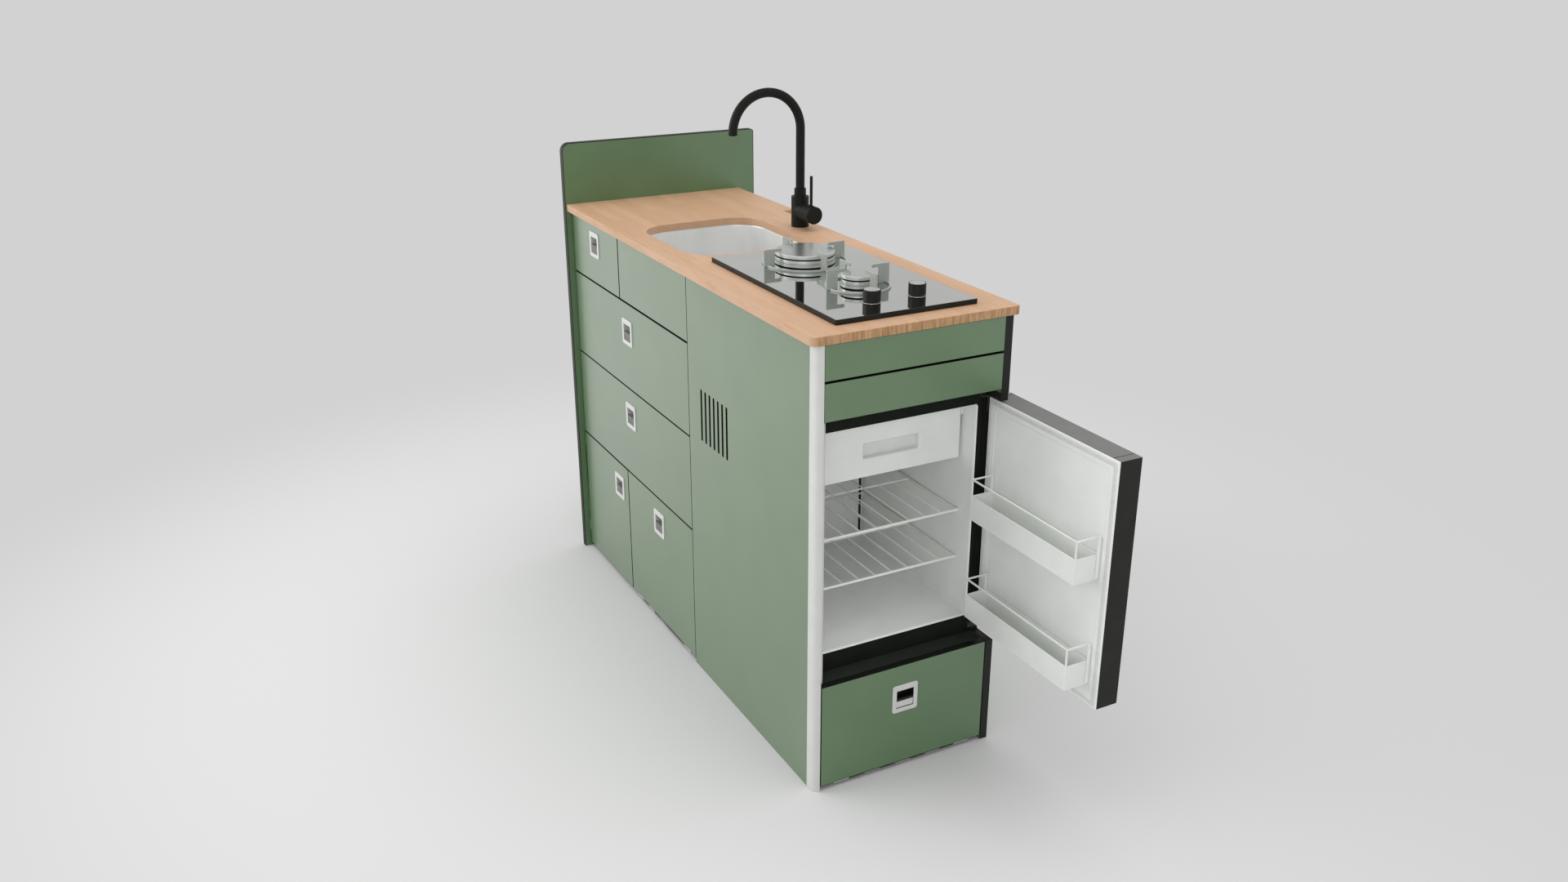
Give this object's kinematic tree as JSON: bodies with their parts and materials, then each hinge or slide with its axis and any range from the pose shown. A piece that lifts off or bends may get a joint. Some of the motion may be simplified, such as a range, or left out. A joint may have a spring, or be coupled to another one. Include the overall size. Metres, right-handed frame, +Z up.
{
  "type": "campervan kitchen unit",
  "caption": "Long narrow campervan kitchen cabinet with a timber worktop, inset sink, swivel tap, gas hob, drawers, flaps and a fridge with its door open at one end.",
  "frame": {"origin": "on the floor, at the centre of the cabinet footprint", "axes": "+Z up, the drawers face -Y, the fridge end faces +X"},
  "size_m": [1.536, 0.501, 1.2028],
  "materials": {
    "laminate": "satin",
    "edging": "matte",
    "white_plastic": "satin",
    "plywood": "satin",
    "oak": "satin",
    "steel": "brushed",
    "black_metal": "matte",
    "glass_black": "polished",
    "enamel": "satin",
    "black_plastic": "matte",
    "seal": "matte",
    "rail_steel": "satin",
    "burner_alloy": "satin"
  },
  "bodies": {
    "cabinet": {"end_panel": "laminate", "edge_trim": "edging", "back_panel": "laminate", "vent_panel": "laminate", "corner_post": "white_plastic", "carcass_core": "plywood", "bay_shelf": "edging", "end_fascias": "laminate", "worktop": "oak", "runners": "rail_steel", "sink_bowl": "steel", "sink_waste": "steel", "tap_body": "black_metal", "hob_glass": "glass_black", "hob_tray": "steel", "burner_heads": "burner_alloy", "cap_large": "burner_alloy", "cap_small": "burner_alloy", "fridge_case": "black_plastic", "fridge_liner": "white_plastic", "hinge_plates": "black_metal", "false_front": "laminate", "flap_hinges": "rail_steel"},
    "spout": {"tap_spout": "black_metal"},
    "hub": {"tap_hub": "black_metal"},
    "lever": {"tap_lever": "black_metal"},
    "grid_l": {"grid_large": "enamel"},
    "grid_s": {"grid_small": "enamel"},
    "spindle_l": {"spindle_large": "rail_steel"},
    "knob_l": {"knob_large": "black_plastic"},
    "spindle_s": {"spindle_small": "rail_steel"},
    "knob_s": {"knob_small": "black_plastic"},
    "freezer_flap": {"freezer_flap": "white_plastic"},
    "wire_shelf_up": {"shelf_upper": "rail_steel"},
    "wire_shelf_low": {"shelf_lower": "rail_steel"},
    "fridge_door": {"door_shell": "black_plastic", "door_liner": "white_plastic", "door_gasket": "seal", "door_bins": "white_plastic"},
    "drawer_a": {"front_a": "laminate", "box_a": "plywood", "bezel_a": "white_plastic"},
    "drawer_b": {"front_b": "laminate", "box_b": "plywood", "bezel_b": "white_plastic"},
    "drawer_c": {"front_c": "laminate", "box_c": "plywood", "bezel_c": "white_plastic"},
    "cupboard_door": {"door_d": "laminate", "bezel_d": "white_plastic"},
    "cupboard_flap": {"flap_e": "laminate", "bezel_e": "white_plastic"},
    "locker_flap": {"flap_f": "laminate", "bezel_f": "white_plastic"},
    "paddle_a": {"paddle_a": "white_plastic"},
    "paddle_b": {"paddle_b": "white_plastic"},
    "paddle_c": {"paddle_c": "white_plastic"},
    "paddle_d": {"paddle_d": "white_plastic"},
    "paddle_e": {"paddle_e": "white_plastic"},
    "paddle_f": {"paddle_f": "white_plastic"}
  },
  "joints": [
    {"name": "drawer_a_slide", "type": "slide", "parent": "cabinet", "child": "drawer_a", "axis": [0, -1, 0], "range_m": [0, 0.26]},
    {"name": "drawer_b_slide", "type": "slide", "parent": "cabinet", "child": "drawer_b", "axis": [0, -1, 0], "range_m": [0, 0.26]},
    {"name": "drawer_c_slide", "type": "slide", "parent": "cabinet", "child": "drawer_c", "axis": [0, -1, 0], "range_m": [0, 0.26]},
    {"name": "cupboard_door_hinge", "type": "hinge", "parent": "cabinet", "child": "cupboard_door", "pos_m": [-0.5923, -0.1975, 0.1725], "axis": [0, 0, -1], "range_deg": [0, 90]},
    {"name": "cupboard_flap_hinge", "type": "hinge", "parent": "cabinet", "child": "cupboard_flap", "pos_m": [-0.1135, -0.1975, 0.0083], "axis": [1, 0, 0], "range_deg": [0, 90]},
    {"name": "locker_flap_hinge", "type": "hinge", "parent": "cabinet", "child": "locker_flap", "pos_m": [0.6085, -0.0015, 0.0083], "axis": [0, 1, 0], "range_deg": [0, 90]},
    {"name": "fridge_door_hinge", "type": "hinge", "parent": "cabinet", "child": "fridge_door", "pos_m": [0.5645, 0.1895, 0.484], "axis": [0, 0, 1], "range_deg": [-90, 15]},
    {"name": "freezer_flap_hinge", "type": "hinge", "parent": "cabinet", "child": "freezer_flap", "pos_m": [0.5125, 0.0005, 0.6775], "axis": [0, -1, 0], "range_deg": [0, 75]},
    {"name": "upper_shelf_slide", "type": "slide", "parent": "cabinet", "child": "wire_shelf_up", "axis": [1, 0, 0], "range_m": [0, 0.3]},
    {"name": "lower_shelf_slide", "type": "slide", "parent": "cabinet", "child": "wire_shelf_low", "axis": [1, 0, 0], "range_m": [0, 0.3]},
    {"name": "spout_swivel", "type": "hinge", "parent": "cabinet", "child": "spout", "pos_m": [-0.133, 0.17, 0.984], "axis": [0, 0, 1], "range_deg": [-60, 60]},
    {"name": "tap_hub_turn", "type": "hinge", "parent": "cabinet", "child": "hub", "pos_m": [-0.093, 0.17, 0.935], "axis": [1, 0, 0], "range_deg": [-35, 35]},
    {"name": "lever_tilt", "type": "hinge", "parent": "hub", "child": "lever", "pos_m": [-0.083, 0.17, 0.935], "axis": [0, 1, 0], "range_deg": [0, 22]},
    {"name": "grid_large_lift", "type": "slide", "parent": "cabinet", "child": "grid_l", "axis": [0, 0, 1], "range_m": [0, 0.15]},
    {"name": "grid_small_lift", "type": "slide", "parent": "cabinet", "child": "grid_s", "axis": [0, 0, 1], "range_m": [0, 0.15]},
    {"name": "knob_large_push", "type": "slide", "parent": "cabinet", "child": "spindle_l", "axis": [0, 0, -1], "range_m": [0, 0.002], "stiffness_N_per_m": 600, "springref_m": -0.002},
    {"name": "knob_large_turn", "type": "hinge", "parent": "spindle_l", "child": "knob_l", "pos_m": [0.497, -0.028, 0.9195], "axis": [0, 0, -1], "range_deg": [0, 180]},
    {"name": "knob_small_push", "type": "slide", "parent": "cabinet", "child": "spindle_s", "axis": [0, 0, -1], "range_m": [0, 0.002], "stiffness_N_per_m": 600, "springref_m": -0.002},
    {"name": "knob_small_turn", "type": "hinge", "parent": "spindle_s", "child": "knob_s", "pos_m": [0.497, 0.067, 0.9195], "axis": [0, 0, -1], "range_deg": [0, 180]},
    {"name": "paddle_a_pull", "type": "hinge", "parent": "drawer_a", "child": "paddle_a", "pos_m": [-0.447, -0.1995, 0.815], "axis": [1, 0, 0], "range_deg": [0, 22], "stiffness_Nm_per_rad": 0.05, "springref_deg": -17.19},
    {"name": "paddle_b_pull", "type": "hinge", "parent": "drawer_b", "child": "paddle_b", "pos_m": [-0.2605, -0.1995, 0.655], "axis": [1, 0, 0], "range_deg": [0, 22], "stiffness_Nm_per_rad": 0.05, "springref_deg": -17.19},
    {"name": "paddle_c_pull", "type": "hinge", "parent": "drawer_c", "child": "paddle_c", "pos_m": [-0.2605, -0.1995, 0.454], "axis": [1, 0, 0], "range_deg": [0, 22], "stiffness_Nm_per_rad": 0.05, "springref_deg": -17.19},
    {"name": "paddle_d_pull", "type": "hinge", "parent": "cupboard_door", "child": "paddle_d", "pos_m": [-0.356, -0.1995, 0.244], "axis": [1, 0, 0], "range_deg": [0, 22], "stiffness_Nm_per_rad": 0.05, "springref_deg": -17.19},
    {"name": "paddle_e_pull", "type": "hinge", "parent": "cupboard_flap", "child": "paddle_e", "pos_m": [-0.1135, -0.1995, 0.244], "axis": [1, 0, 0], "range_deg": [0, 22], "stiffness_Nm_per_rad": 0.05, "springref_deg": -17.19},
    {"name": "paddle_f_pull", "type": "hinge", "parent": "locker_flap", "child": "paddle_f", "pos_m": [0.6105, -0.0015, 0.137], "axis": [0, 1, 0], "range_deg": [0, 22], "stiffness_Nm_per_rad": 0.05, "springref_deg": -17.19}
  ]
}
